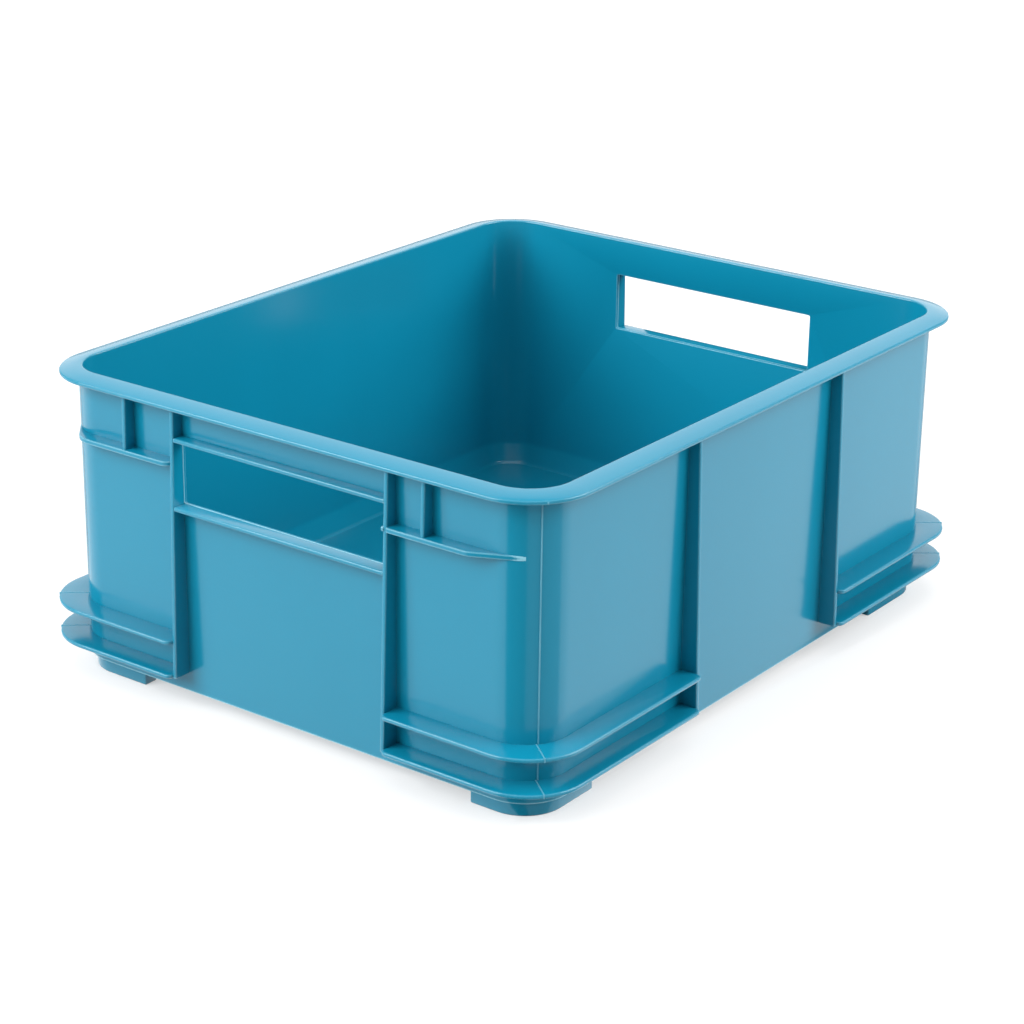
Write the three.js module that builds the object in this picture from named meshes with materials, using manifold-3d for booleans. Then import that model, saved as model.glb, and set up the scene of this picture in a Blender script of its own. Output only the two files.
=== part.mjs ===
// An open stacking crate, moulded in one piece, built region by region.
// Millimetres, +Z up. The origin is the centre of the footprint at the level the feet stand on.
// X runs along the length. The handle openings are in the two end walls, at -X (front) and +X (rear).
// Left is +Y and right is -Y. The crate maps onto itself by a half turn about Z.

import * as THREE from 'three';
import { mergeVertices } from 'three/addons/utils/BufferGeometryUtils.js';
import Module from 'manifold-3d';

const wasm = await Module();
wasm.setup();

// ---- overall sizes, taken over the stacking flanges ----
const LENGTH = 430;
const WIDTH = 350;
const HEIGHT = 176;

// ---- wall shell ----
const WALL = 2.2;                // wall thickness
const FLANGE_REACH = 14;         // stacking flanges stand this far out of the wall
const CORNER_RADIUS = 24;        // inside radius of the vertical corners

// ---- rim ----
const RIM_REACH = 10.5;          // rim stands this far out of the wall
const RIM_DROP = 2.2;            // outer edge of the rim lies this much below its inner edge
const RIM_EDGE = 2.3;            // thickness of the rim at its outer edge

// ---- base ----
const FLOOR_UNDERSIDE = 8.4;     // underside of the floor above the feet's resting level
const FLOOR_THICKNESS = 2.2;
const SEAT_LEVEL = 18;           // underside of the ledge that rests on the rim of a crate below
const BASE_CLEARANCE = 0.5;      // base and feet stand this far inside the rim opening of a crate below
const TRAY_LIP = 2.2;            // how far the top of the floor tray's edge reaches in from the wall
const FLOOR_COVE = 4.5;          // and how far the foot of its sloped inner side does
const LEDGE_THICKNESS = 1;       // of the ledge, under the wall

// ---- stacking flanges and feet ----
const FLANGE_THICKNESS = 2.5;
const FLANGE_GAP = 17.3;         // clear height between the two flanges
const FLANGE_CORNER_RADIUS = 34;
const FOOT_WALL = 9;             // width of a foot's leg
const FOOT_LONG = [63, 51];      // leg lengths along X and Y, front left and rear right
const FOOT_SHORT = [51, 40];     // leg lengths along X and Y, front right and rear left

// ---- vertical ribs ----
const RIB = 2.6;                 // thickness of every rib, sill, lintel and shelf
const END_RIB_SPACING = 144;     // between the centres of the two ribs on an end wall
const SIDE_RIB_SPACING = 142.8;  // between the centres of the two ribs on a side wall
const RIB_REACH_TOP = 6.7;       // how far a rib stands out of the wall just under the rim
const RIB_REACH_BOTTOM = 11;     // and at the foot of the wall

// ---- handle openings ----
const HANDLE_SILL = 117.5;       // top of the sill
const HANDLE_HEIGHT = 35.5;      // clear height of the opening

// ---- shelves beside the handles ----
const SHELF_TOP = 141.5;
const SHELF_REACH = 8.5;         // how far the shelf stands out of the wall
const SHELF_NEAR = [1, 25, 6];   // rounding of the shelf's edge beside the rib, then the degrees it
const SHELF_FAR = [6.5, 48, 15]; // turns through to run onto the corner, and the radius of that turn
const SHELF_TIP = 0.8;           // the shelf's tip stands this far out of the corner
const SHELF_TIP_TURN = 10;       // and follows it for this many more degrees
const SHORT_RIB_FAR = 106.5;     // from the middle of the end wall, front left and rear right
const SHORT_RIB_NEAR = 95.2;     // the same, front right and rear left

// ---- model settings ----
const CORNER_STEPS = 8;          // facets in a rounded corner

// ---- sizes worked out from the ones above ----
const outerX = LENGTH / 2 - FLANGE_REACH;
const outerY = WIDTH / 2 - FLANGE_REACH;
const innerX = outerX - WALL;
const innerY = outerY - WALL;
const outerRadius = CORNER_RADIUS + WALL;
const bendX = innerX - CORNER_RADIUS;
const bendY = innerY - CORNER_RADIUS;
const wallFoot = SEAT_LEVEL + LEDGE_THICKNESS;
const flangeLow = [wallFoot, wallFoot + FLANGE_THICKNESS];
const flangeHigh = [flangeLow[1] + FLANGE_GAP, flangeLow[1] + FLANGE_GAP + FLANGE_THICKNESS];
const rimUnderside = HEIGHT - RIM_DROP - RIM_EDGE;
const endRibInner = END_RIB_SPACING / 2 - RIB / 2;
const endRibOuter = END_RIB_SPACING / 2 + RIB / 2;
const sideRibInner = SIDE_RIB_SPACING / 2 - RIB / 2;
const sideRibOuter = SIDE_RIB_SPACING / 2 + RIB / 2;
const lintelLow = HANDLE_SILL + HANDLE_HEIGHT;

const plastic = { color: 0x4fa3c4, roughness: 0.35, metalness: 0 };
const crate = new THREE.Group();

function addMesh(name, geometry, parent = crate) {
  const mesh = new THREE.Mesh(geometry, new THREE.MeshStandardMaterial(plastic));
  mesh.name = name;
  parent.add(mesh);
}

// ---- solids ----

function toSolid(geometry) {
  geometry.deleteAttribute('normal');
  geometry.deleteAttribute('uv');
  const merged = mergeVertices(geometry, 1e-4);
  return new wasm.Manifold(new wasm.Mesh({
    numProp: 3,
    vertProperties: new Float32Array(merged.attributes.position.array),
    triVerts: new Uint32Array(merged.index.array),
  }));
}

function toGeometry(solid) {
  const mesh = solid.getMesh();
  const geometry = new THREE.BufferGeometry();
  geometry.setAttribute('position', new THREE.BufferAttribute(mesh.vertProperties, 3));
  geometry.setIndex(new THREE.BufferAttribute(mesh.triVerts, 1));
  return geometry;
}

function box(x0, x1, y0, y1, z0, z1) {
  const geometry = new THREE.BoxGeometry(x1 - x0, y1 - y0, z1 - z0);
  geometry.translate((x0 + x1) / 2, (y0 + y1) / 2, (z0 + z1) / 2);
  return geometry;
}

// The part of a solid that lies within given limits in plan.
function within(solid, x0, x1, y0, y1) {
  return toGeometry(solid.intersect(toSolid(box(x0, x1, y0, y1, -1, HEIGHT + 1))));
}

// Points of a rectangle with rounded corners, anticlockwise from above.
function roundedOutline(halfX, halfY, radius) {
  const shape = new THREE.Shape();
  shape.absarc(halfX - radius, halfY - radius, radius, 0, Math.PI / 2);
  shape.absarc(radius - halfX, halfY - radius, radius, Math.PI / 2, Math.PI);
  shape.absarc(radius - halfX, radius - halfY, radius, Math.PI, Math.PI * 1.5);
  shape.absarc(halfX - radius, radius - halfY, radius, Math.PI * 1.5, Math.PI * 2);
  const points = [];
  for (const arc of shape.curves.filter((curve) => curve.isEllipseCurve)) {
    points.push(...arc.getPoints(CORNER_STEPS));
  }
  return points;
}

// A surface through rounded rectangles given as [halfX, halfY, radius, z].
// Closed, it is a ring; capped, its first and last outlines are filled with flat faces.
function surfaceThrough(outlines, capped) {
  const rings = outlines.map(([halfX, halfY, radius]) => roundedOutline(halfX, halfY, radius));
  const count = rings[0].length;
  const positions = rings.flatMap((ring, i) => ring.flatMap((point) => [point.x, point.y, outlines[i][3]]));
  const index = [];
  for (let i = 0; i < rings.length - (capped ? 1 : 0); i++) {
    const next = (i + 1) % rings.length;
    for (let j = 0; j < count; j++) {
      const k = (j + 1) % count;
      const [a, b, c, d] = [i * count + j, i * count + k, next * count + k, next * count + j];
      index.push(a, b, c, a, c, d);
    }
  }
  if (capped) {
    const outline = rings[0].length / 4;
    const last = (rings.length - 1) * count;
    for (let corner = 0; corner < 4; corner++) {
      for (let j = 1; j < outline - 1; j++) {
        const [a, b, c] = [corner * outline, corner * outline + j, corner * outline + j + 1];
        index.push(a, c, b);
        index.push(last + a, last + b, last + c);
      }
    }
    const ends = [0, 1, 2, 3].flatMap((corner) => [corner * outline, (corner + 1) * outline - 1]);
    for (let j = 1; j < ends.length - 1; j++) {
      index.push(ends[0], ends[j + 1], ends[j]);
      index.push(last + ends[0], last + ends[j], last + ends[j + 1]);
    }
  }
  const geometry = new THREE.BufferGeometry();
  geometry.setAttribute('position', new THREE.Float32BufferAttribute(positions, 3));
  geometry.setIndex(index);
  return geometry;
}

// A ring around the crate whose section is a list of [distance out of the wall's inner face, z].
function ring(section, cornerRadius = CORNER_RADIUS) {
  return toSolid(surfaceThrough(section.map(([out, z]) =>
    [innerX + out, innerY + out, cornerRadius + out, z]), false));
}

// An outline in the XZ plane given as [x, z], with a thickness along Y from y0 to y1.
function plateAcrossY(outline, y0, y1) {
  const shape = new THREE.Shape(outline.map(([x, z]) => new THREE.Vector2(x, z)));
  const geometry = new THREE.ExtrudeGeometry(shape, { depth: y1 - y0, bevelEnabled: false });
  geometry.rotateX(Math.PI / 2);
  geometry.translate(0, y1, 0);
  return geometry;
}

// ---- rim ----

function rim() {
  const edge = WALL + RIM_REACH;
  const rimRing = ring([
    [0, rimUnderside],
    [edge, rimUnderside],
    [edge, HEIGHT - RIM_DROP],
    [0, HEIGHT],
  ]);
  const farX = LENGTH / 2;
  const farY = WIDTH / 2;
  addMesh('rim_front', within(rimRing, -farX, -bendX, -bendY, bendY));
  addMesh('rim_rear', within(rimRing, bendX, farX, -bendY, bendY));
  addMesh('rim_right', within(rimRing, -bendX, bendX, -farY, -bendY));
  addMesh('rim_left', within(rimRing, -bendX, bendX, bendY, farY));
  addMesh('rim_corner_front_right', within(rimRing, -farX, -bendX, -farY, -bendY));
  addMesh('rim_corner_front_left', within(rimRing, -farX, -bendX, bendY, farY));
  addMesh('rim_corner_rear_right', within(rimRing, bendX, farX, -farY, -bendY));
  addMesh('rim_corner_rear_left', within(rimRing, bendX, farX, bendY, farY));
}

// ---- walls ----

function sideWalls() {
  for (const [name, low, high] of [['right', -outerY, -innerY], ['left', innerY, outerY]]) {
    addMesh(`side_wall_${name}_middle`,
      box(-sideRibInner, sideRibInner, low, high, wallFoot, rimUnderside));
    addMesh(`side_wall_${name}_front`, box(-bendX, -sideRibOuter, low, high, flangeHigh[1], rimUnderside));
    addMesh(`side_wall_${name}_rear`, box(sideRibOuter, bendX, low, high, flangeHigh[1], rimUnderside));
  }
}

function endWalls() {
  for (const [name, low, high] of [['front', -outerX, -innerX], ['rear', innerX, outerX]]) {
    addMesh(`end_wall_${name}_lower`,
      box(low, high, -endRibInner, endRibInner, wallFoot, HANDLE_SILL - RIB));
    addMesh(`end_wall_${name}_upper`,
      box(low, high, -endRibInner, endRibInner, lintelLow + RIB, rimUnderside));
    addMesh(`end_wall_${name}_right`, box(low, high, -bendY, -endRibOuter, flangeHigh[1], rimUnderside));
    addMesh(`end_wall_${name}_left`, box(low, high, endRibOuter, bendY, flangeHigh[1], rimUnderside));
  }
}

// Each corner, as its name and the directions of X and Y towards it.
const corners = [
  ['front_right', -1, -1],
  ['front_left', -1, 1],
  ['rear_right', 1, -1],
  ['rear_left', 1, 1],
];

// The part of a solid in one corner, further out than the given distances in X and Y.
function cornerPart(solid, signX, signY, fromX, fromY) {
  const [x0, x1] = [signX * fromX, signX * LENGTH / 2].sort((a, b) => a - b);
  const [y0, y1] = [signY * fromY, signY * WIDTH / 2].sort((a, b) => a - b);
  return solid.intersect(toSolid(box(x0, x1, y0, y1, -1, HEIGHT + 1)));
}

function cornerWalls() {
  const shell = ring([[0, flangeHigh[1]], [WALL, flangeHigh[1]], [WALL, rimUnderside], [0, rimUnderside]]);
  for (const [name, signX, signY] of corners) {
    addMesh(`corner_wall_${name}`, toGeometry(cornerPart(shell, signX, signY, bendX, bendY)));
  }
}

// ---- stacking flanges: two flat plates round each corner, with a strip of wall between them ----

function flangeRing([low, high]) {
  return toSolid(surfaceThrough([
    [LENGTH / 2, WIDTH / 2, FLANGE_CORNER_RADIUS, low],
    [LENGTH / 2, WIDTH / 2, FLANGE_CORNER_RADIUS, high],
    [innerX, innerY, CORNER_RADIUS, high],
    [innerX, innerY, CORNER_RADIUS, low],
  ], false));
}

// A solid limited to one corner's flange region, which ends at the ribs of both walls.
function betweenRibs(solid, signX, signY) {
  const core = toSolid(box(-bendX, bendX, -bendY, bendY, -1, HEIGHT + 1));
  return toGeometry(cornerPart(solid, signX, signY, sideRibOuter, endRibOuter).subtract(core));
}

function stackingFlanges() {
  const low = flangeRing(flangeLow);
  const high = flangeRing(flangeHigh);
  const web = ring([[0, flangeLow[1]], [WALL, flangeLow[1]], [WALL, flangeHigh[0]], [0, flangeHigh[0]]]);
  for (const [name, signX, signY] of corners) {
    addMesh(`lower_flange_${name}`, betweenRibs(low, signX, signY));
    addMesh(`flange_web_${name}`, betweenRibs(web, signX, signY));
    addMesh(`upper_flange_${name}`, betweenRibs(high, signX, signY));
  }
}

// ---- base: the floor with its raised edge, and four feet ----

function floorTray() {
  const outline = (out, z) => [innerX + out, innerY + out, CORNER_RADIUS + out, z];
  addMesh('floor_tray', surfaceThrough([
    outline(-BASE_CLEARANCE, FLOOR_UNDERSIDE),
    outline(-BASE_CLEARANCE, SEAT_LEVEL),
    outline(WALL, SEAT_LEVEL),
    outline(WALL, wallFoot),
    outline(-TRAY_LIP, wallFoot),
    outline(-FLOOR_COVE, FLOOR_UNDERSIDE + FLOOR_THICKNESS),
  ], true));
}

function feet() {
  const footX = innerX - BASE_CLEARANCE;
  const footY = innerY - BASE_CLEARANCE;
  const radius = CORNER_RADIUS - BASE_CLEARANCE;
  const footRing = toSolid(surfaceThrough([
    [footX, footY, radius, 0],
    [footX, footY, radius, FLOOR_UNDERSIDE],
    [footX - FOOT_WALL, footY - FOOT_WALL, radius - FOOT_WALL, FLOOR_UNDERSIDE],
    [footX - FOOT_WALL, footY - FOOT_WALL, radius - FOOT_WALL, 0],
  ], false));
  for (const [name, signX, signY] of corners) {
    const [alongX, alongY] = signX === signY ? FOOT_SHORT : FOOT_LONG;
    const foot = cornerPart(footRing, signX, signY, footX - alongX, footY - alongY);
    addMesh(`foot_${name}`, toGeometry(foot));
  }
}

// ---- vertical ribs ----

// Side view of a rib on a wall whose outer face is at the given distance: it tapers towards the rim.
function ribOutline(wallFace) {
  return [
    [wallFace - WALL, wallFoot],
    [wallFace + RIB_REACH_BOTTOM, wallFoot],
    [wallFace + RIB_REACH_TOP, rimUnderside],
    [wallFace - WALL, rimUnderside],
  ];
}

function verticalRibs() {
  for (const [end, turn] of [['rear', 0], ['front', Math.PI]]) {
    for (const side of [-1, 1]) {
      const centre = side * END_RIB_SPACING / 2;
      const name = side * (turn ? -1 : 1) > 0 ? 'left' : 'right';
      const rib = plateAcrossY(ribOutline(outerX), centre - RIB / 2, centre + RIB / 2);
      addMesh(`end_rib_${end}_${name}`, rib.rotateZ(turn));
    }
  }
  for (const [side, turn] of [['left', Math.PI / 2], ['right', -Math.PI / 2]]) {
    for (const along of [-1, 1]) {
      const centre = along * SIDE_RIB_SPACING / 2;
      const name = along * (turn > 0 ? -1 : 1) > 0 ? 'rear' : 'front';
      const rib = plateAcrossY(ribOutline(outerY), centre - RIB / 2, centre + RIB / 2);
      addMesh(`side_rib_${side}_${name}`, rib.rotateZ(turn));
    }
  }
}

// ---- handles ----

// How far a rib stands out of the wall at a given height.
function ribReach(z) {
  const share = (z - wallFoot) / (rimUnderside - wallFoot);
  return RIB_REACH_BOTTOM + (RIB_REACH_TOP - RIB_REACH_BOTTOM) * share;
}

function handleBars() {
  for (const [end, turn] of [['rear', 0], ['front', Math.PI]]) {
    const sill = box(innerX, outerX + ribReach(HANDLE_SILL), -endRibInner, endRibInner,
      HANDLE_SILL - RIB, HANDLE_SILL);
    const lintel = box(innerX, outerX + ribReach(lintelLow + RIB), -endRibInner, endRibInner,
      lintelLow, lintelLow + RIB);
    addMesh(`handle_sill_${end}`, sill.rotateZ(turn));
    addMesh(`handle_lintel_${end}`, lintel.rotateZ(turn));
  }
}

// ---- shelves, each with the short rib that joins it to the rim ----

// A shelf on the rear wall, running from the rib at +Y until it dies away on the corner.
function shelfPlate([startRadius, endTurn, endRadius]) {
  const shape = new THREE.Shape();
  const edge = outerX + SHELF_REACH;
  const tip = outerRadius + SHELF_TIP;
  const turn = THREE.MathUtils.degToRad(endTurn);
  const turnStart = bendY
    + (tip - endRadius - (edge - endRadius - bendX) * Math.cos(turn)) / Math.sin(turn);
  shape.moveTo(bendX, endRibOuter);
  shape.absarc(edge - startRadius, endRibOuter + startRadius, startRadius, -Math.PI / 2, 0);
  shape.absarc(edge - endRadius, turnStart, endRadius, 0, turn);
  shape.absarc(bendX, bendY, tip, turn, turn + THREE.MathUtils.degToRad(SHELF_TIP_TURN));
  shape.lineTo(bendX, bendY);
  const plate = new THREE.ExtrudeGeometry(shape, {
    depth: RIB, bevelEnabled: false, curveSegments: CORNER_STEPS,
  });
  plate.translate(0, 0, SHELF_TOP - RIB);
  const inside = surfaceThrough([
    [outerX, outerY, outerRadius, -1],
    [outerX, outerY, outerRadius, HEIGHT + 1],
  ], true);
  return toSolid(plate).subtract(toSolid(inside));
}

function shortRib(centre) {
  const foot = SHELF_TOP - RIB / 2;
  return toSolid(plateAcrossY([
    [outerX, foot],
    [outerX + ribReach(foot), foot],
    [outerX + RIB_REACH_TOP, rimUnderside],
    [outerX, rimUnderside],
  ], centre - RIB / 2, centre + RIB / 2));
}

function shelves() {
  const nearShelf = shelfPlate(SHELF_NEAR).add(shortRib(SHORT_RIB_NEAR));
  const farShelf = shelfPlate(SHELF_FAR).add(shortRib(SHORT_RIB_FAR)).mirror([0, 1, 0]);
  addMesh('shelf_rear_left', toGeometry(nearShelf));
  addMesh('shelf_rear_right', toGeometry(farShelf));
  addMesh('shelf_front_right', toGeometry(nearShelf).rotateZ(Math.PI));
  addMesh('shelf_front_left', toGeometry(farShelf).rotateZ(Math.PI));
}

floorTray();
feet();
stackingFlanges();
sideWalls();
endWalls();
cornerWalls();
verticalRibs();
handleBars();
shelves();
rim();

export default crate;
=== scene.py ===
# %% [markdown]
# An open stacking crate. The real one is a single moulding of blue polypropylene: walls, rim,
# floor, ribs, flanges and feet all leave the mould together. Here it is modelled the way a
# maker would draw it. First comes one continuous skin, then the ribs and plates that stand out
# of it. The imported CAD model is the frame, and most sizes below are taken from it.

# %% Load the frame
import bmesh
import bpy
import math
from mathutils import Matrix, Vector


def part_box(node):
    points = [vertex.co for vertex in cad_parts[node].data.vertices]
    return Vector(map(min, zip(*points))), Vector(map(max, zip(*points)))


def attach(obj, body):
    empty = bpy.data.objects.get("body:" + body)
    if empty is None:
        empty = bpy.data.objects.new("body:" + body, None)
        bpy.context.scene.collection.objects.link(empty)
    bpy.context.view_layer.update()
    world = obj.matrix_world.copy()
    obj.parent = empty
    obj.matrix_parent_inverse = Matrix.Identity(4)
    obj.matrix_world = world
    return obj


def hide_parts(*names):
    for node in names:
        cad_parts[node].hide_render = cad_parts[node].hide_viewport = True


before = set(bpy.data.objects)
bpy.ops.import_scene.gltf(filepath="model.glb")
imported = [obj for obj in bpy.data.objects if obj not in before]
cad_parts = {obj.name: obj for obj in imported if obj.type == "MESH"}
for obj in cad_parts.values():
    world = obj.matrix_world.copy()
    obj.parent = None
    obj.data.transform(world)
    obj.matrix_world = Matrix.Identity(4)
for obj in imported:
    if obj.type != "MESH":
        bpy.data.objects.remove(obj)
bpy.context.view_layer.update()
bpy.ops.object.select_all(action="DESELECT")

# %% [markdown]
# The sizes come from the boxes of CAD nodes, so that the skin sits exactly where the frame is.
# A wall's box gives its inner and outer face, and the rim's gives the top of the crate.

# %% Sizes read from the frame
def span(node, axis):
    """The lowest and highest coordinate of a CAD node along one axis."""
    low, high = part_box(node)
    return low[axis], high[axis]

MM = 0.001
X, Y, Z = 0, 1, 2
CORNER_SEGMENTS = 20
inner_x, outer_x = span("end_wall_rear_left", X)
inner_y, outer_y = span("side_wall_left_front", Y)
wall = outer_x - inner_x
corner_radius = outer_x - span("corner_wall_rear_left", X)[0] - wall
wall_radius = corner_radius + wall
rim_x, rim_y = span("rim_rear", X)[1], span("rim_left", Y)[1]
rim_low, top = span("rim_rear", Z)
floor_low, wall_foot = span("floor_tray", Z)
LEDGE = 1 * MM
seat = wall_foot - LEDGE
flange_x, flange_y = span("lower_flange_rear_left", X)[1], span("lower_flange_rear_left", Y)[1]
print(f"wall {wall / MM:.1f} mm, corner radius {corner_radius / MM:.1f} mm")
print(f"rim from {rim_low / MM:.1f} to {top / MM:.1f} mm")

# %% [markdown]
# Edit mode works on what is selected. This helper selects faces, edges or vertices by a test
# on their centre and normal, which is what a hand would do by clicking on them.

# %% Selecting by place
def select(kind, test):
    """Selects the elements of the mesh in edit mode whose centre (and normal) pass the test."""
    bpy.ops.mesh.select_mode(type=kind)
    bpy.ops.mesh.select_all(action="DESELECT")
    mesh = bmesh.from_edit_mesh(bpy.context.object.data)
    mesh.normal_update()
    if kind == "FACE":
        for face in mesh.faces:
            face.select_set(test(face.calc_center_median(), face.normal))
    elif kind == "EDGE":
        for edge in mesh.edges:
            a, b = edge.verts
            edge.select_set(test((a.co + b.co) / 2, (b.co - a.co).normalized()))
    else:
        for vertex in mesh.verts:
            vertex.select_set(test(vertex.co, vertex.normal))
    mesh.select_flush_mode()
    bmesh.update_edit_mesh(bpy.context.object.data)

def select_everything():
    """Selects the whole mesh in edit mode."""
    bpy.ops.mesh.select_all(action="SELECT")

def near(a, b, within=0.02 * MM):
    """True where two lengths are the same for a maker's purposes."""
    return abs(a - b) < within

def slide(vector):
    """Moves what is selected."""
    bpy.ops.transform.translate(value=vector)

def extrude(vector):
    """Extrudes what is selected and moves the new faces."""
    bpy.ops.mesh.extrude_region_move(TRANSFORM_OT_translate={"value": vector})

def round_edges(radius, segments):
    """Rounds the selected edges."""
    bpy.ops.mesh.bevel(offset=radius, segments=segments, affect="EDGES")

def round_corners(radius):
    """Rounds the corners of a flat outline, at the selected vertices."""
    bpy.ops.mesh.bevel(offset=radius, segments=CORNER_SEGMENTS, affect="VERTICES",
                       offset_type="OFFSET")

# %% [markdown]
# A primitive comes in at its size, in edit mode. When a piece is done it leaves edit mode and
# its place is applied, so that its object sits at the origin like the CAD nodes.

# %% Starting and finishing a piece
def begin_plate(name, x0, x1, y0, y1, z):
    """A flat rectangle at height z, in edit mode."""
    bpy.ops.object.select_all(action="DESELECT")
    bpy.ops.mesh.primitive_plane_add(size=1, location=((x0 + x1) / 2, (y0 + y1) / 2, z))
    piece = bpy.context.object
    piece.name = name
    piece.scale = (x1 - x0, y1 - y0, 1)
    bpy.ops.object.transform_apply(location=True, rotation=True, scale=True)
    bpy.ops.object.mode_set(mode="EDIT")
    return piece

def begin_block(name, x0, x1, y0, y1, z0, z1):
    """A box between two corners, in edit mode."""
    bpy.ops.object.select_all(action="DESELECT")
    place = ((x0 + x1) / 2, (y0 + y1) / 2, (z0 + z1) / 2)
    bpy.ops.mesh.primitive_cube_add(size=1, location=place)
    piece = bpy.context.object
    piece.name = name
    piece.scale = (x1 - x0, y1 - y0, z1 - z0)
    bpy.ops.object.transform_apply(location=True, rotation=True, scale=True)
    bpy.ops.object.mode_set(mode="EDIT")
    return piece

def soften(piece, width, segments):
    """Rounds every edge sharper than 40 degrees, as a mould's edges are."""
    bevel = piece.modifiers.new("soft edges", "BEVEL")
    bevel.width = width
    bevel.segments = segments
    bevel.limit_method = "ANGLE"
    bevel.angle_limit = math.radians(40)
    bevel.harden_normals = False
    bpy.ops.object.modifier_apply(modifier=bevel.name)

def smooth():
    """Shades the active object smoothly, with its sharp edges kept."""
    bpy.ops.object.shade_smooth_by_angle(angle=math.radians(35))

def finish(piece, edge, segments=4):
    """Leaves edit mode, turns faces outwards, rounds the edges and shades smoothly."""
    select_everything()
    bpy.ops.mesh.remove_doubles(threshold=0.005 * MM)
    bpy.ops.mesh.normals_make_consistent(inside=False)
    bpy.ops.object.mode_set(mode="OBJECT")
    if edge:
        soften(piece, edge, segments)
    smooth()
    print(piece.name, len(piece.data.polygons), "faces")
    return piece

# %% [markdown]
# Most pieces come in fours or pairs. One is modelled, and the rest are copies with meshes of
# their own, mirrored or turned half round. A mirrored mesh is inside out until its normals are
# flipped.

# %% Copies
def mirror(piece, sign_x, sign_y):
    """Mirrors a piece's mesh in X or Y, or turns it half round (both)."""
    piece.data.transform(Matrix.Diagonal((sign_x, sign_y, 1, 1)))
    if sign_x * sign_y < 0:
        piece.data.flip_normals()

def copy_piece(piece, name, sign_x, sign_y):
    """A mirrored or turned copy of a piece, with a mesh of its own."""
    copy = piece.copy()
    copy.data = piece.data.copy()
    copy.name = name
    bpy.context.collection.objects.link(copy)
    mirror(copy, sign_x, sign_y)
    return copy

corners = {"rear_left": (1, 1), "rear_right": (1, -1),
           "front_left": (-1, 1), "front_right": (-1, -1)}
pieces = {}

# %% [markdown]
# The skin starts as a flat slab the size of the rim. Its lower face is inset and pulled down:
# that makes the outside of the walls, the ledge that sits on the crate below, and the base. Its
# upper face is inset and pushed down: that makes the sloping rim, the inside of the walls, the
# sloped edge of the floor and the floor itself. The result is one closed shell, as moulded.

# %% The skin
def step_in(inward, up, z, facing):
    """Insets the flat face at height z and moves it up or down, and returns its new height."""
    select("FACE", lambda centre, normal: near(centre.z, z) and normal.z * facing > 0.9)
    bpy.ops.mesh.inset(thickness=inward, depth=0, use_even_offset=True)
    if up:
        slide((0, 0, up))
    return z + up

def pull(up, z, facing):
    """Extrudes the flat face at height z straight up or down, and returns its new height."""
    select("FACE", lambda centre, normal: near(centre.z, z) and normal.z * facing > 0.9)
    extrude((0, 0, up))
    return z + up

RIM_DROP = 2.2 * MM             # the rim slopes down by this much to its outer edge
RIM_HOLLOW = 1.6 * MM           # and is hollow by this much underneath
BASE_CLEARANCE = 0.5 * MM       # the base stands this far inside the walls
SLOPE_TOP = 24 * MM             # the floor's sloped edge, from here on the wall
SLOPE_FOOT = 12 * MM            # down to here
SLOPE_REACH = 4.5 * MM          # and this far in
FLOOR_THICKNESS = 2.2 * MM
FLOOR_DIP = 1.2 * MM            # width of the last small slope, down to the floor

skin = begin_plate("crate_skin", -rim_x, rim_x, -rim_y, rim_y, rim_low)
select("VERT", lambda place, normal: True)
round_corners(corner_radius + rim_x - inner_x)
select_everything()
extrude((0, 0, top - RIM_DROP - rim_low))
select_everything()
bpy.ops.mesh.normals_make_consistent(inside=False)

z = step_in(rim_x - outer_x, RIM_HOLLOW, rim_low, -1)
z = pull(seat - z, z, -1)
z = step_in(wall + BASE_CLEARANCE, 0, z, -1)
z = pull(floor_low - z, z, -1)

z = step_in(rim_x - inner_x, RIM_DROP, top - RIM_DROP, 1)
z = pull(SLOPE_TOP - z, z, 1)
z = step_in(SLOPE_REACH, SLOPE_FOOT - SLOPE_TOP, z, 1)
z = step_in(FLOOR_DIP, floor_low + FLOOR_THICKNESS - z, z, 1)
print("floor top at", round(z / MM, 2), "mm, faces", len(bmesh.from_edit_mesh(skin.data).faces))

# %% [markdown]
# The edges that the light catches are rounded as the mould rounds them: the lip of the rim, the
# foot of the walls, and the two creases of the floor's sloped edge. A ring of edges is found by
# its height and by how far out of the wall's inner face it lies, also round the corners.

# %% Rounded rings
bend_x, bend_y = inner_x - corner_radius, inner_y - corner_radius

def outward(place):
    """Distance of a place from the wall's inner face, positive towards the outside."""
    return math.hypot(max(abs(place.x) - bend_x, 0), max(abs(place.y) - bend_y, 0)) - corner_radius

def round_ring(z, out, radius, segments=3):
    """Rounds the ring of edges at a height and a distance out of the wall's inner face."""
    facet_sag = 0.12 * MM
    select("EDGE", lambda centre, along: near(centre.z, z) and abs(along.z) < 0.01
           and near(outward(centre), out, facet_sag))
    round_edges(radius, segments)

round_ring(top, 0, 1.1 * MM)
round_ring(top - RIM_DROP, rim_x - inner_x, 0.8 * MM)
round_ring(rim_low, rim_x - inner_x, 0.8 * MM)
round_ring(rim_low, wall, 0.8 * MM)
round_ring(seat, wall, 0.5 * MM)
round_ring(seat, -BASE_CLEARANCE, 0.5 * MM)
round_ring(floor_low, -BASE_CLEARANCE, 1.2 * MM)
round_ring(SLOPE_TOP, 0, 1.5 * MM)
round_ring(SLOPE_FOOT, -SLOPE_REACH, 0.8 * MM)
finish(skin, edge=0)

# %% [markdown]
# The handle openings are cut through both end walls at once, with one long bar as the cutter.
# Its four long edges are rounded, which rounds the corners of the openings. Then the edge of
# each opening on the inside of the crate is softened, because hands go over it.

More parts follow.
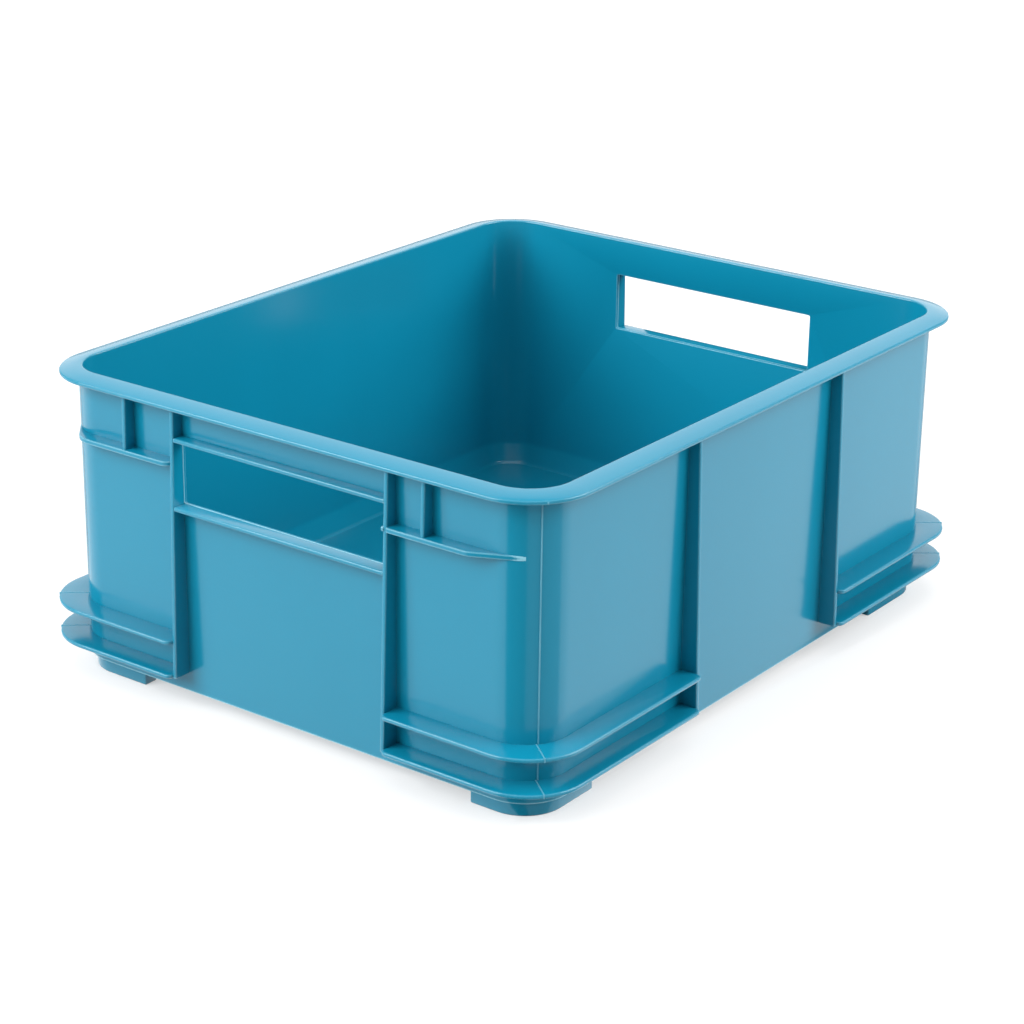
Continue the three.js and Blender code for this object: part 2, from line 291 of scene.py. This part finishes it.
# %% The handle openings
opening_y = span("handle_sill_front", Y)[1]
sill_top = span("handle_sill_front", Z)[1]
lintel_low = span("handle_lintel_front", Z)[0]
cutter = begin_block("cutter", -flange_x, flange_x, -opening_y, opening_y, sill_top, lintel_low)
select("EDGE", lambda centre, along: abs(along.x) > 0.9)
round_edges(0.8 * MM, 3)
bpy.ops.object.mode_set(mode="OBJECT")
bpy.ops.object.select_all(action="DESELECT")
bpy.context.view_layer.objects.active = skin
skin.select_set(True)
cut = skin.modifiers.new("openings", "BOOLEAN")
cut.operation = "DIFFERENCE"
cut.object = cutter
cut.solver = "EXACT"
bpy.ops.object.modifier_apply(modifier=cut.name)
bpy.data.objects.remove(cutter)
bpy.ops.object.mode_set(mode="EDIT")
slack = 0.1 * MM
select("EDGE", lambda centre, along: near(abs(centre.x), inner_x)
       and abs(centre.y) < opening_y + slack
       and sill_top - slack < centre.z < lintel_low + slack)
round_edges(0.5 * MM, 2)
bpy.ops.object.mode_set(mode="OBJECT")
smooth()
print("opening", round(2 * opening_y / MM, 1), "by", round((lintel_low - sill_top) / MM, 1), "mm")

# %% [markdown]
# Two plates run round every corner, one above the other. They stiffen the corner and stop the
# crate from tipping in a stack. A plate is the strip between two rounded outlines, so the
# outlines are drawn first, and the strip between them is bridged. The strip is then cut off at
# the ribs and pulled up to its thickness. Its ends at the ribs are rounded.

# %% The stacking flanges
side_rib = span("lower_flange_rear_left", X)[0]
end_rib = span("lower_flange_rear_left", Y)[0]

def add_outline(half_x, half_y, radius, z):
    """Adds the outline of a rectangle with rounded corners to the mesh in edit mode."""
    bpy.ops.mesh.select_all(action="DESELECT")
    bpy.ops.mesh.primitive_plane_add(size=1, location=(0, 0, z))
    bpy.ops.transform.resize(value=(2 * half_x, 2 * half_y, 1), center_override=(0, 0, z))
    round_corners(radius)
    bpy.ops.mesh.delete(type="ONLY_FACE")

def corner_strip(name, outer, inner, z, thickness, from_x, from_y):
    """One corner of the strip between two outlines, each given as half sizes and radius."""
    piece = begin_plate(name, -outer[0], outer[0], -outer[1], outer[1], z)
    select_everything()
    round_corners(outer[2])
    bpy.ops.mesh.delete(type="ONLY_FACE")
    add_outline(*inner, z)
    select_everything()
    bpy.ops.mesh.bridge_edge_loops()
    for place, normal in (((from_x, 0, z), (1, 0, 0)), ((0, from_y, z), (0, 1, 0))):
        select_everything()
        bpy.ops.mesh.bisect(plane_co=place, plane_no=normal, clear_inner=True)
    select_everything()
    extrude((0, 0, thickness))
    return piece

flange_radius = 34 * MM
sunk = 0.6 * MM                 # how far a plate reaches into the wall
into_rib = 0.5 * MM             # and into the ribs at its ends
plate_thickness = span("lower_flange_rear_left", Z)[1] - wall_foot
cut_x, cut_y = side_rib - into_rib, end_rib - into_rib
plate = corner_strip("lower_plate_rear_left", (flange_x, flange_y, flange_radius),
                     (outer_x - sunk, outer_y - sunk, wall_radius - sunk),
                     wall_foot, plate_thickness, cut_x, cut_y)
select("EDGE", lambda centre, along: abs(along.z) > 0.9 and (
    near(centre.x, flange_x) and near(centre.y, cut_y, slack)
    or near(centre.y, flange_y) and near(centre.x, cut_x, slack)))
round_edges(3.5 * MM, 5)
finish(plate, edge=1.0 * MM)

lift = span("upper_flange_rear_left", Z)[0] - wall_foot
pieces[plate.name] = plate
for name, signs in corners.items():
    for level, height in (("lower", 0), ("upper", lift)):
        if f"{level}_plate_{name}" in pieces:
            continue
        copy = copy_piece(plate, f"{level}_plate_{name}", *signs)
        copy.data.transform(Matrix.Translation((0, 0, height)))
        pieces[copy.name] = copy
print(len(pieces), "corner plates,", round(plate_thickness / MM, 1), "mm thick")

# %% [markdown]
# The feet are low legs under the four corners. They follow the outline of the base, so that
# they drop into the crate below. The legs are longer at two opposite corners.

# %% The feet
base = (inner_x - BASE_CLEARANCE, inner_y - BASE_CLEARANCE, corner_radius - BASE_CLEARANCE)
leg = 9 * MM
leg_line = [half - leg for half in base]

def leg_end(node, axis):
    """How far from the middle of the crate a foot's leg ends, along one axis."""
    return min(abs(v) for v in span(node, axis))

for first, second in (("rear_left", "front_right"), ("rear_right", "front_left")):
    foot_x, foot_y = leg_end("foot_" + first, X), leg_end("foot_" + first, Y)
    foot = corner_strip("foot_block_" + first, base, leg_line, 0, floor_low + 0.4 * MM,
                        foot_x, foot_y)
    finish(foot, edge=1.0 * MM, segments=3)
    if first == "rear_right":
        mirror(foot, 1, -1)
    pieces[foot.name] = foot
    pieces["foot_block_" + second] = copy_piece(foot, "foot_block_" + second, -1, -1)
print("legs end", round(foot_x / MM, 1), round(foot_y / MM, 1), "mm from the middle")

# %% [markdown]
# Eight ribs run up the walls. They stand further out at the foot than under the rim, so that
# they leave the mould and guide one crate onto another. A rib is a thin upright plate: the
# outer edge of its top is pulled in, and its free edges are rounded.

# %% The ribs
rib_low, rib_high = span("end_rib_rear_left", Y)
rib_reach = span("end_rib_rear_left", X)[1] - outer_x
rib_reach_top = 6.7 * MM
embed = 0.4 * MM                # how far a piece reaches into the skin

def upright_rib(name, face, reach, reach_top, middle, thickness, z0, z1):
    """A rib on the wall that faces +X, standing from z0 to z1."""
    rib = begin_block(name, face - embed, face + reach, middle - thickness / 2,
                      middle + thickness / 2, z0, z1)
    select("VERT", lambda place, normal: near(place.z, z1) and near(place.x, face + reach))
    slide((reach_top - reach, 0, 0))
    return finish(rib, edge=0.9 * MM)

rib_thickness = rib_high - rib_low
rib_top = rim_low + 0.8 * MM
middle = (rib_low + rib_high) / 2
end = upright_rib("end_rib_plate_rear_left", outer_x, rib_reach, rib_reach_top, middle,
                  rib_thickness, wall_foot, rib_top)
pieces[end.name] = end
for name in ("rear_right", "front_left", "front_right"):
    pieces["end_rib_plate_" + name] = copy_piece(end, "end_rib_plate_" + name, *corners[name])

side_middle = sum(span("side_rib_left_rear", X)) / 2
side = upright_rib("side_rib_plate_left_rear", outer_y, rib_reach, rib_reach_top, -side_middle,
                   rib_thickness, wall_foot, rib_top)
side.data.transform(Matrix.Rotation(math.pi / 2, 4, "Z"))
pieces[side.name] = side
for name, signs in (("left_front", (-1, 1)), ("right_rear", (1, -1)), ("right_front", (-1, -1))):
    pieces["side_rib_plate_" + name] = copy_piece(side, "side_rib_plate_" + name, *signs)
print("ribs stand", round(rib_reach / MM, 1), "mm out at the foot")

# %% [markdown]
# A flat bar runs under each opening and another over it, from rib to rib. The lower one is the
# part that carries the weight in the hand.

# %% Sills and lintels
def bar(name, node):
    """A bar along the opening, as long as its CAD node and with rounded edges."""
    reach = span(node, X)[1]
    z0, z1 = span(node, Z)
    block = begin_block(name, outer_x - embed, reach, -opening_y - embed, opening_y + embed,
                        z0, z1)
    return finish(block, edge=1.0 * MM)

for name, node in (("sill", "handle_sill_rear"), ("lintel", "handle_lintel_rear")):
    rear = bar(f"handle_{name}_bar_rear", node)
    pieces[rear.name] = rear
    pieces[f"handle_{name}_bar_front"] = copy_piece(rear, f"handle_{name}_bar_front", -1, -1)

# %% [markdown]
# Beside each handle a shelf runs from the rib round to the corner, where it dies away into the
# wall. A short rib joins it to the rim. The shelf is drawn as a strip along the wall, and its
# end is spun round the corner. Cuts that turn a few degrees each then take off what is too much,
# which leaves the rounded and slanting edge. One of the two shelves starts square at its rib,
# the other with a rounded corner.

# %% The shelves
shelf_low, shelf_top = span("shelf_rear_left", Z)[0], 141.5 * MM
shelf_edge = span("shelf_rear_left", X)[1]
SHORT_RIB_REACH = 7.6 * MM

TIP_TURN = 14                   # the strip goes on for this many degrees past its last bend

def shelf(name, short_rib_at, start_radius, end_turn, end_radius):
    """A shelf on the rear wall's left side and its short rib."""
    strip = begin_plate(name, outer_x - 2 * embed, shelf_edge, rib_high - embed, bend_y, shelf_low)
    select("EDGE", lambda centre, along: near(centre.y, bend_y))
    corner = Vector((bend_x, bend_y, shelf_low))
    bpy.ops.mesh.spin(steps=24, angle=math.radians(-end_turn - TIP_TURN), center=corner,
                      axis=(0, 0, 1))
    select_everything()
    bpy.ops.mesh.remove_doubles(threshold=0.01 * MM)
    full, run_out = math.radians(end_turn), wall_radius + 0.3 * MM
    past_corner = shelf_edge - end_radius - bend_x
    bend_start = (run_out - end_radius - past_corner * math.cos(full)) / math.sin(full)
    bend = Vector((shelf_edge - end_radius, bend_y + bend_start, shelf_low))
    cuts = [(end_turn * (step + 1) / 7, bend, end_radius) for step in range(7)]
    cuts += [(end_turn + 3 * step, corner, run_out - 0.1 * MM * step) for step in range(5)]
    for degrees, centre, radius in cuts:
        turn = math.radians(degrees)
        outwards = Vector((math.cos(turn), math.sin(turn), 0))
        select_everything()
        bpy.ops.mesh.bisect(plane_co=centre + outwards * radius, plane_no=outwards,
                            clear_outer=True)
    select_everything()
    bpy.ops.mesh.dissolve_limited(angle_limit=math.radians(0.5))
    select_everything()
    bpy.ops.mesh.normals_make_consistent(inside=False)
    extrude((0, 0, shelf_top - shelf_low))
    select("EDGE", lambda centre, along: abs(along.z) > 0.9 and near(centre.x, shelf_edge)
           and centre.y < rib_high)
    round_edges(start_radius, 6)
    finish(strip, edge=0.9 * MM)
    short = upright_rib(name.replace("shelf_plate", "short_rib"), outer_x, SHORT_RIB_REACH,
                        rib_reach_top, short_rib_at, rib_thickness, shelf_low + 1 * MM, rib_top)
    return strip, short

near_shelf = shelf("shelf_plate_rear_left", 95.2 * MM, 1.2 * MM, 25, 6 * MM)
far_shelf = shelf("shelf_plate_rear_right", 106.5 * MM, 6.5 * MM, 48, 15 * MM)
for piece in far_shelf:
    mirror(piece, 1, -1)
for rear in near_shelf + far_shelf:
    pieces[rear.name] = rear
    front = rear.name.replace("rear_left", "front_right").replace("rear_right", "front_left")
    pieces[front] = copy_piece(rear, front, -1, -1)
nib = begin_block("shelf_nib_front_right", 0.2 * MM - shelf_edge, 2.6 * MM - shelf_edge,
                  -rib_low - 1 * MM, -rib_low + 0.9 * MM,
                  shelf_low + 0.1 * MM, shelf_top - 0.1 * MM)
pieces[nib.name] = finish(nib, edge=0.7 * MM, segments=3)
print("shelf top at", round(shelf_top / MM, 1), "mm")

# %% [markdown]
# Where two parts of the mould meet, the plastic shows a fine raised line. On this crate it runs
# down each corner and across both plates. It is a ridge, drawn a little wider than the real one
# so that it stays visible.

# %% The parting lines
PARTING_ANGLE = math.radians(51)
RIDGE = 0.8 * MM                # width of the ridge
PROUD = 0.35 * MM               # how far it stands out of the wall

def ridge_block(radial0, radial1, z0, z1, centre):
    """A thin upright ridge on the rear left corner, between two radii."""
    ridge = begin_block("ridge", radial0, radial1, -RIDGE / 2, RIDGE / 2, z0, z1)
    finish(ridge, edge=0.3 * MM, segments=3)
    turn = Matrix.Translation((centre[0], centre[1], 0)) @ Matrix.Rotation(PARTING_ANGLE, 4, "Z")
    ridge.data.transform(turn)
    return ridge

on_wall = (wall_radius - 0.2 * MM, wall_radius + PROUD)
bend = (bend_x, bend_y)
upper_foot = wall_foot + lift
parts = [ridge_block(*on_wall, upper_foot + plate_thickness - 0.5 * MM, rim_low + 0.3 * MM, bend),
         ridge_block(*on_wall, wall_foot + 1 * MM, upper_foot + 0.5 * MM, bend)]
flange_centre = (flange_x - flange_radius, flange_y - flange_radius)
set_back = math.hypot(bend_x - flange_centre[0], bend_y - flange_centre[1])
for plate_foot in (wall_foot, upper_foot):
    parts.append(ridge_block(wall_radius - set_back - 0.5 * MM, flange_radius + 0.2 * MM,
                             plate_foot + 0.3 * MM, plate_foot + plate_thickness + 0.2 * MM,
                             flange_centre))
rim_radius = corner_radius + rim_x - inner_x
parts.append(ridge_block(rim_radius - 2 * MM, rim_radius + 0.2 * MM, rim_low + 0.4 * MM,
                         top - RIM_DROP - 0.5 * MM, bend))
bpy.ops.object.select_all(action="DESELECT")
for part in parts:
    part.select_set(True)
bpy.context.view_layer.objects.active = parts[0]
bpy.ops.object.join()
parting = parts[0]
parting.name = "parting_line_rear_left"
pieces[parting.name] = parting
for name in ("rear_right", "front_left", "front_right"):
    pieces["parting_line_" + name] = copy_piece(parting, "parting_line_" + name, *corners[name])
print("parting lines on", len(corners), "corners")

# %% [markdown]
# One plastic covers the whole crate: polypropylene with blue pigment. Its colour is dense, its
# skin is half glossy from a polished mould, and a very slight unevenness spreads reflections.

# %% A group for the skin of moulded plastic
def new_group(name, inputs, outputs):
    """A shader node group with float inputs (name, default) and outputs (name, socket type)."""
    group = bpy.data.node_groups.new(name, "ShaderNodeTree")
    for label, default in inputs:
        socket = group.interface.new_socket(name=label, in_out="INPUT",
                                            socket_type="NodeSocketFloat")
        socket.default_value = default
    for label, kind in outputs:
        group.interface.new_socket(name=label, in_out="OUTPUT", socket_type=kind)
    return group, group.nodes.new("NodeGroupInput"), group.nodes.new("NodeGroupOutput")

def noise(group, place, scale, detail=2.0, stretch=(1, 1, 1)):
    """A noise texture on the piece's own coordinates, stretched along the axes."""
    mapping = group.nodes.new("ShaderNodeMapping")
    mapping.inputs["Scale"].default_value = stretch
    texture = group.nodes.new("ShaderNodeTexNoise")
    texture.inputs["Scale"].default_value = scale
    texture.inputs["Detail"].default_value = detail
    group.links.new(place, mapping.inputs["Vector"])
    group.links.new(mapping.outputs["Vector"], texture.inputs["Vector"])
    return texture.outputs["Fac"]

def math_node(group, operation, *values):
    """A math node on sockets or numbers."""
    node = group.nodes.new("ShaderNodeMath")
    node.operation = operation
    for socket, value in zip(node.inputs, values):
        if isinstance(value, (int, float)):
            socket.default_value = value
        else:
            group.links.new(value, socket)
    return node.outputs[0]

grain, grain_in, grain_out = new_group("mould skin", [("Waves", 1.0), ("Grain", 1.0)],
                                       [("Height", "NodeSocketFloat"), ("Flow", "NodeSocketFloat")])
place = grain.nodes.new("ShaderNodeTexCoord").outputs["Object"]
waves = noise(grain, place, 14.0, 1.0)
fine = noise(grain, place, 900.0, 2.0)
flow = noise(grain, place, 9.0, 3.0, (1, 1, 0.25))
tall = math_node(grain, "MULTIPLY", waves, grain_in.outputs["Waves"])
grain_height = math_node(grain, "MULTIPLY", grain_in.outputs["Grain"], 0.004)
height = math_node(grain, "MULTIPLY_ADD", fine, grain_height, tall)
grain.links.new(height, grain_out.inputs["Height"])
grain.links.new(flow, grain_out.inputs["Flow"])
print("group made:", grain.name)

# %% [markdown]
# Along every outer edge, and along the fine ridges, the skin is painted paler: a painted highlight
# that stands in for the light which rounded edges catch. There it is also a little rougher. The
# mask looks into the plastic from its surface, and is high where the far side is close, as at an
# edge.

# %% A group for painted edge highlights
highlight_group, highlight_in, highlight_out = new_group("rubbed edges", [("Reach", 0.0012), ("Amount", 1.0)],
                                 [("Mask", "NodeSocketFloat")])
place = highlight_group.nodes.new("ShaderNodeTexCoord").outputs["Object"]
inner_look = highlight_group.nodes.new("ShaderNodeAmbientOcclusion")
inner_look.inside = True
inner_look.only_local = True
inner_look.samples = 8
highlight_group.links.new(highlight_in.outputs["Reach"], inner_look.inputs["Distance"])
closeness = math_node(highlight_group, "SUBTRACT", 1.0, inner_look.outputs["AO"])
sharp = highlight_group.nodes.new("ShaderNodeMapRange")
sharp.interpolation_type = "SMOOTHSTEP"
sharp.inputs["From Min"].default_value = 0.08
sharp.inputs["From Max"].default_value = 0.5
highlight_group.links.new(closeness, sharp.inputs["Value"])
uneven = math_node(highlight_group, "MULTIPLY_ADD", noise(highlight_group, place, 60.0, 3.0), 0.6, 0.6)
edge_highlight = math_node(highlight_group, "MULTIPLY", sharp.outputs[0], uneven)
edge_highlight = math_node(highlight_group, "MULTIPLY", edge_highlight, highlight_in.outputs["Amount"])
highlight_group.links.new(math_node(highlight_group, "MINIMUM", edge_highlight, 1.0), highlight_out.inputs["Mask"])
print("group made:", highlight_group.name)

# %% The plastic
def plastic(name, waves, roughness, highlight_strength):
    """Blue polypropylene. The colour drifts a little with the flow of the melt."""
    material = bpy.data.materials.new(name)
    material.use_nodes = True
    tree = material.node_tree
    shader = tree.nodes["Principled BSDF"]
    skin_node = tree.nodes.new("ShaderNodeGroup")
    skin_node.node_tree = grain
    skin_node.inputs["Waves"].default_value = waves
    ramp = tree.nodes.new("ShaderNodeValToRGB")
    ramp.color_ramp.elements[0].position = 0.3
    ramp.color_ramp.elements[0].color = (0.003, 0.178, 0.282, 1)
    ramp.color_ramp.elements[1].position = 0.7
    ramp.color_ramp.elements[1].color = (0.003, 0.190, 0.300, 1)
    tree.links.new(skin_node.outputs["Flow"], ramp.inputs["Fac"])
    # Painted highlight: the edges are mixed toward a pale blue where rounded edges catch light, and
    # made rougher.
    highlight_node = tree.nodes.new("ShaderNodeGroup")
    highlight_node.node_tree = highlight_group
    highlight_node.inputs["Reach"].default_value = 1.2 * MM
    highlight_node.inputs["Amount"].default_value = highlight_strength
    pale = tree.nodes.new("ShaderNodeMix")
    pale.data_type = "RGBA"
    pale.inputs["B"].default_value = (0.26, 0.55, 0.65, 1)
    tree.links.new(highlight_node.outputs["Mask"], pale.inputs["Factor"])
    tree.links.new(ramp.outputs["Color"], pale.inputs["A"])
    tree.links.new(pale.outputs["Result"], shader.inputs["Base Color"])
    dull = math_node(tree, "MULTIPLY_ADD", highlight_node.outputs["Mask"], 0.2, roughness)
    tree.links.new(dull, shader.inputs["Roughness"])
    bump = tree.nodes.new("ShaderNodeBump")
    bump.inputs["Strength"].default_value = 0.25
    bump.inputs["Distance"].default_value = 0.0006
    tree.links.new(skin_node.outputs["Height"], bump.inputs["Height"])
    tree.links.new(bump.outputs["Normal"], shader.inputs["Normal"])
    shader.inputs["IOR"].default_value = 1.5
    shader.inputs["Specular IOR Level"].default_value = 0.4
    return material

# The last number sets how strongly the edges and fine ridges get the painted highlight.
blue = plastic("blue polypropylene", 1.0, 0.17, 0.9)
ridge_blue = plastic("blue polypropylene, fine ridges", 0.3, 0.25, 0.3)
print("materials:", blue.name, "and", ridge_blue.name)

# %% [markdown]
# Every piece takes the plastic and rides on the one body of the frame. Each also stands for the
# CAD nodes whose place it takes, which then aren't shown.

# %% Hand over to the frame
def stands_for(piece, *nodes):
    """Gives a piece its material and body, and hides the CAD nodes that it replaces."""
    piece.data.materials.clear()
    piece.data.materials.append(ridge_blue if piece.name.startswith("parting_line") else blue)
    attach(piece, "root")
    if nodes:
        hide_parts(*nodes)

skin_kinds = ("floor_tray", "side_wall", "end_wall", "corner_wall", "rim", "flange_web")
stands_for(skin, *[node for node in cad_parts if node.startswith(skin_kinds)])
cad_names = {"lower_plate": "lower_flange", "upper_plate": "upper_flange", "foot_block": "foot",
             "end_rib_plate": "end_rib", "side_rib_plate": "side_rib", "shelf_plate": "shelf",
             "handle_sill_bar": "handle_sill", "handle_lintel_bar": "handle_lintel",
             "short_rib": None, "shelf_nib": None, "parting_line": None}
for name, piece in pieces.items():
    kind = next(start for start in cad_names if name.startswith(start))
    node = cad_names[kind]
    stands_for(piece, *([node + name[len(kind):]] if node else []))
shown = [node for node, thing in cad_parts.items() if not thing.hide_render]
print("pieces:", len(pieces) + 1, "CAD nodes still shown:", shown)

# %% [markdown]
# A product studio: a wide pale floor, a large soft light on each side at about 30 degrees, a
# weak one overhead and a wide one behind, which the rim mirrors. The floor glows a little for
# the camera alone, so that it comes out white without lighting the crate from below.

# %% The floor
floor = begin_plate("studio_floor", -8, 8, -8, 8, 0)
bpy.ops.object.mode_set(mode="OBJECT")

def plain_material(name, shade, roughness, glow):
    """A grey material that also gives off white light."""
    material = bpy.data.materials.new(name)
    material.use_nodes = True
    shader = material.node_tree.nodes["Principled BSDF"]
    shader.inputs["Base Color"].default_value = (shade, shade, shade, 1)
    shader.inputs["Roughness"].default_value = roughness
    shader.inputs["Emission Color"].default_value = (1, 1, 1, 1)
    shader.inputs["Emission Strength"].default_value = glow
    return material

paper = plain_material("pale paper", 0.45, 0.9, 0)
rays = paper.node_tree.nodes.new("ShaderNodeLightPath")
camera_glow = math_node(paper.node_tree, "MULTIPLY", rays.outputs["Is Camera Ray"], 0.45)
paper.node_tree.links.new(camera_glow,
                          paper.node_tree.nodes["Principled BSDF"].inputs["Emission Strength"])
floor.data.materials.append(paper)

# %% The lights
def soft_light(name, place, size_x, size_y, watts):
    """A rectangular soft light that faces the crate."""
    data = bpy.data.lights.new(name, "AREA")
    data.shape = "RECTANGLE"
    data.size, data.size_y, data.energy = size_x, size_y, watts
    light = bpy.data.objects.new(name, data)
    bpy.context.collection.objects.link(light)
    light.location = place
    towards_crate = Vector((0, 0, 0.08)) - Vector(place)
    light.rotation_euler = towards_crate.to_track_quat("-Z", "Y").to_euler()
    return light

soft_light("left light", (-2.1, 1.2, 1.5), 2.0, 1.6, 105)
soft_light("right light", (1.2, -2.1, 1.5), 2.0, 1.6, 88)
soft_light("top light", (-0.5, -0.4, 2.3), 2.4, 2.4, 22)
soft_light("back light", (2.4, 1.8, 1.7), 4.5, 3.4, 52)
world = bpy.data.worlds.new("studio")
bpy.context.scene.world = world
world.use_nodes = True
world.node_tree.nodes["Background"].inputs["Color"].default_value = (1, 1, 1, 1)
world.node_tree.nodes["Background"].inputs["Strength"].default_value = 0.48
bpy.context.scene.view_settings.view_transform = "Standard"

# %% [markdown]
# Cards lie on the floor round the crate, and only reflections see them. The dark one lies in
# front of the corner, which mirrors it, and the stripe that this leaves makes the corner look
# round. The white ones brighten the front and the right wall. A small dark flag stands behind
# the rear opening and keeps a bright patch off the inside of the left wall.

# %% The cards
def only_reflected(thing):
    """Hides a stage piece from all but reflections."""
    thing.visible_camera = False
    thing.visible_diffuse = False
    thing.visible_shadow = False

def card(name, first, last, shade, glow=0):
    """A wedge of card on the floor between two directions from the front right corner."""
    bpy.ops.object.select_all(action="DESELECT")
    point = (-bend_x - wall_radius / 2, -bend_y - wall_radius / 2, 0.5 * MM)
    bpy.ops.mesh.primitive_circle_add(vertices=72, radius=3, fill_type="TRIFAN", location=point)
    wedge = bpy.context.object
    wedge.name = name
    bpy.ops.object.transform_apply(location=False, rotation=True, scale=True)
    bpy.ops.object.mode_set(mode="EDIT")
    select("FACE", lambda centre, normal:
           (math.degrees(math.atan2(centre.y, centre.x)) - first) % 360 > last - first)
    bpy.ops.mesh.delete(type="FACE")
    bpy.ops.object.mode_set(mode="OBJECT")
    bpy.ops.object.transform_apply(location=True)
    wedge.data.materials.append(plain_material(name, shade, 1, glow))
    only_reflected(wedge)
    print(name, len(wedge.data.polygons), "faces")

card("black card", 170, 215, 0.02)
card("grey card", 215, 295, 0.02, 0.6)
card("right white card", 295, 356, 0.02, 1.55)
card("left white card", 85, 170, 0.02, 1.55)
flag_x = outer_x + 30 * MM
flag = begin_block("opening flag", flag_x, flag_x + 2 * MM, -opening_y, opening_y,
                   90 * MM, 170 * MM)
bpy.ops.object.mode_set(mode="OBJECT")
flag.data.materials.append(bpy.data.materials["black card"])
only_reflected(flag)

# %% The camera
eye = bpy.data.cameras.new("camera")
eye.lens, eye.sensor_width = 93.9, 36
camera = bpy.data.objects.new("camera", eye)
bpy.context.collection.objects.link(camera)
aim = Vector((-0.0079, -0.0015, 0.0714))
azimuth, elevation, distance = math.radians(-53.51), math.radians(21.20), 1.5304
back = Vector((math.sin(azimuth) * math.cos(elevation), -math.cos(azimuth) * math.cos(elevation),
               math.sin(elevation)))
roll = Matrix.Rotation(math.radians(0.79), 3, "Z")
camera.location = aim + back * distance
camera.rotation_euler = (back.to_track_quat("Z", "Y").to_matrix() @ roll).to_euler()
bpy.context.scene.camera = camera
print("camera at", [round(v, 3) for v in camera.location])
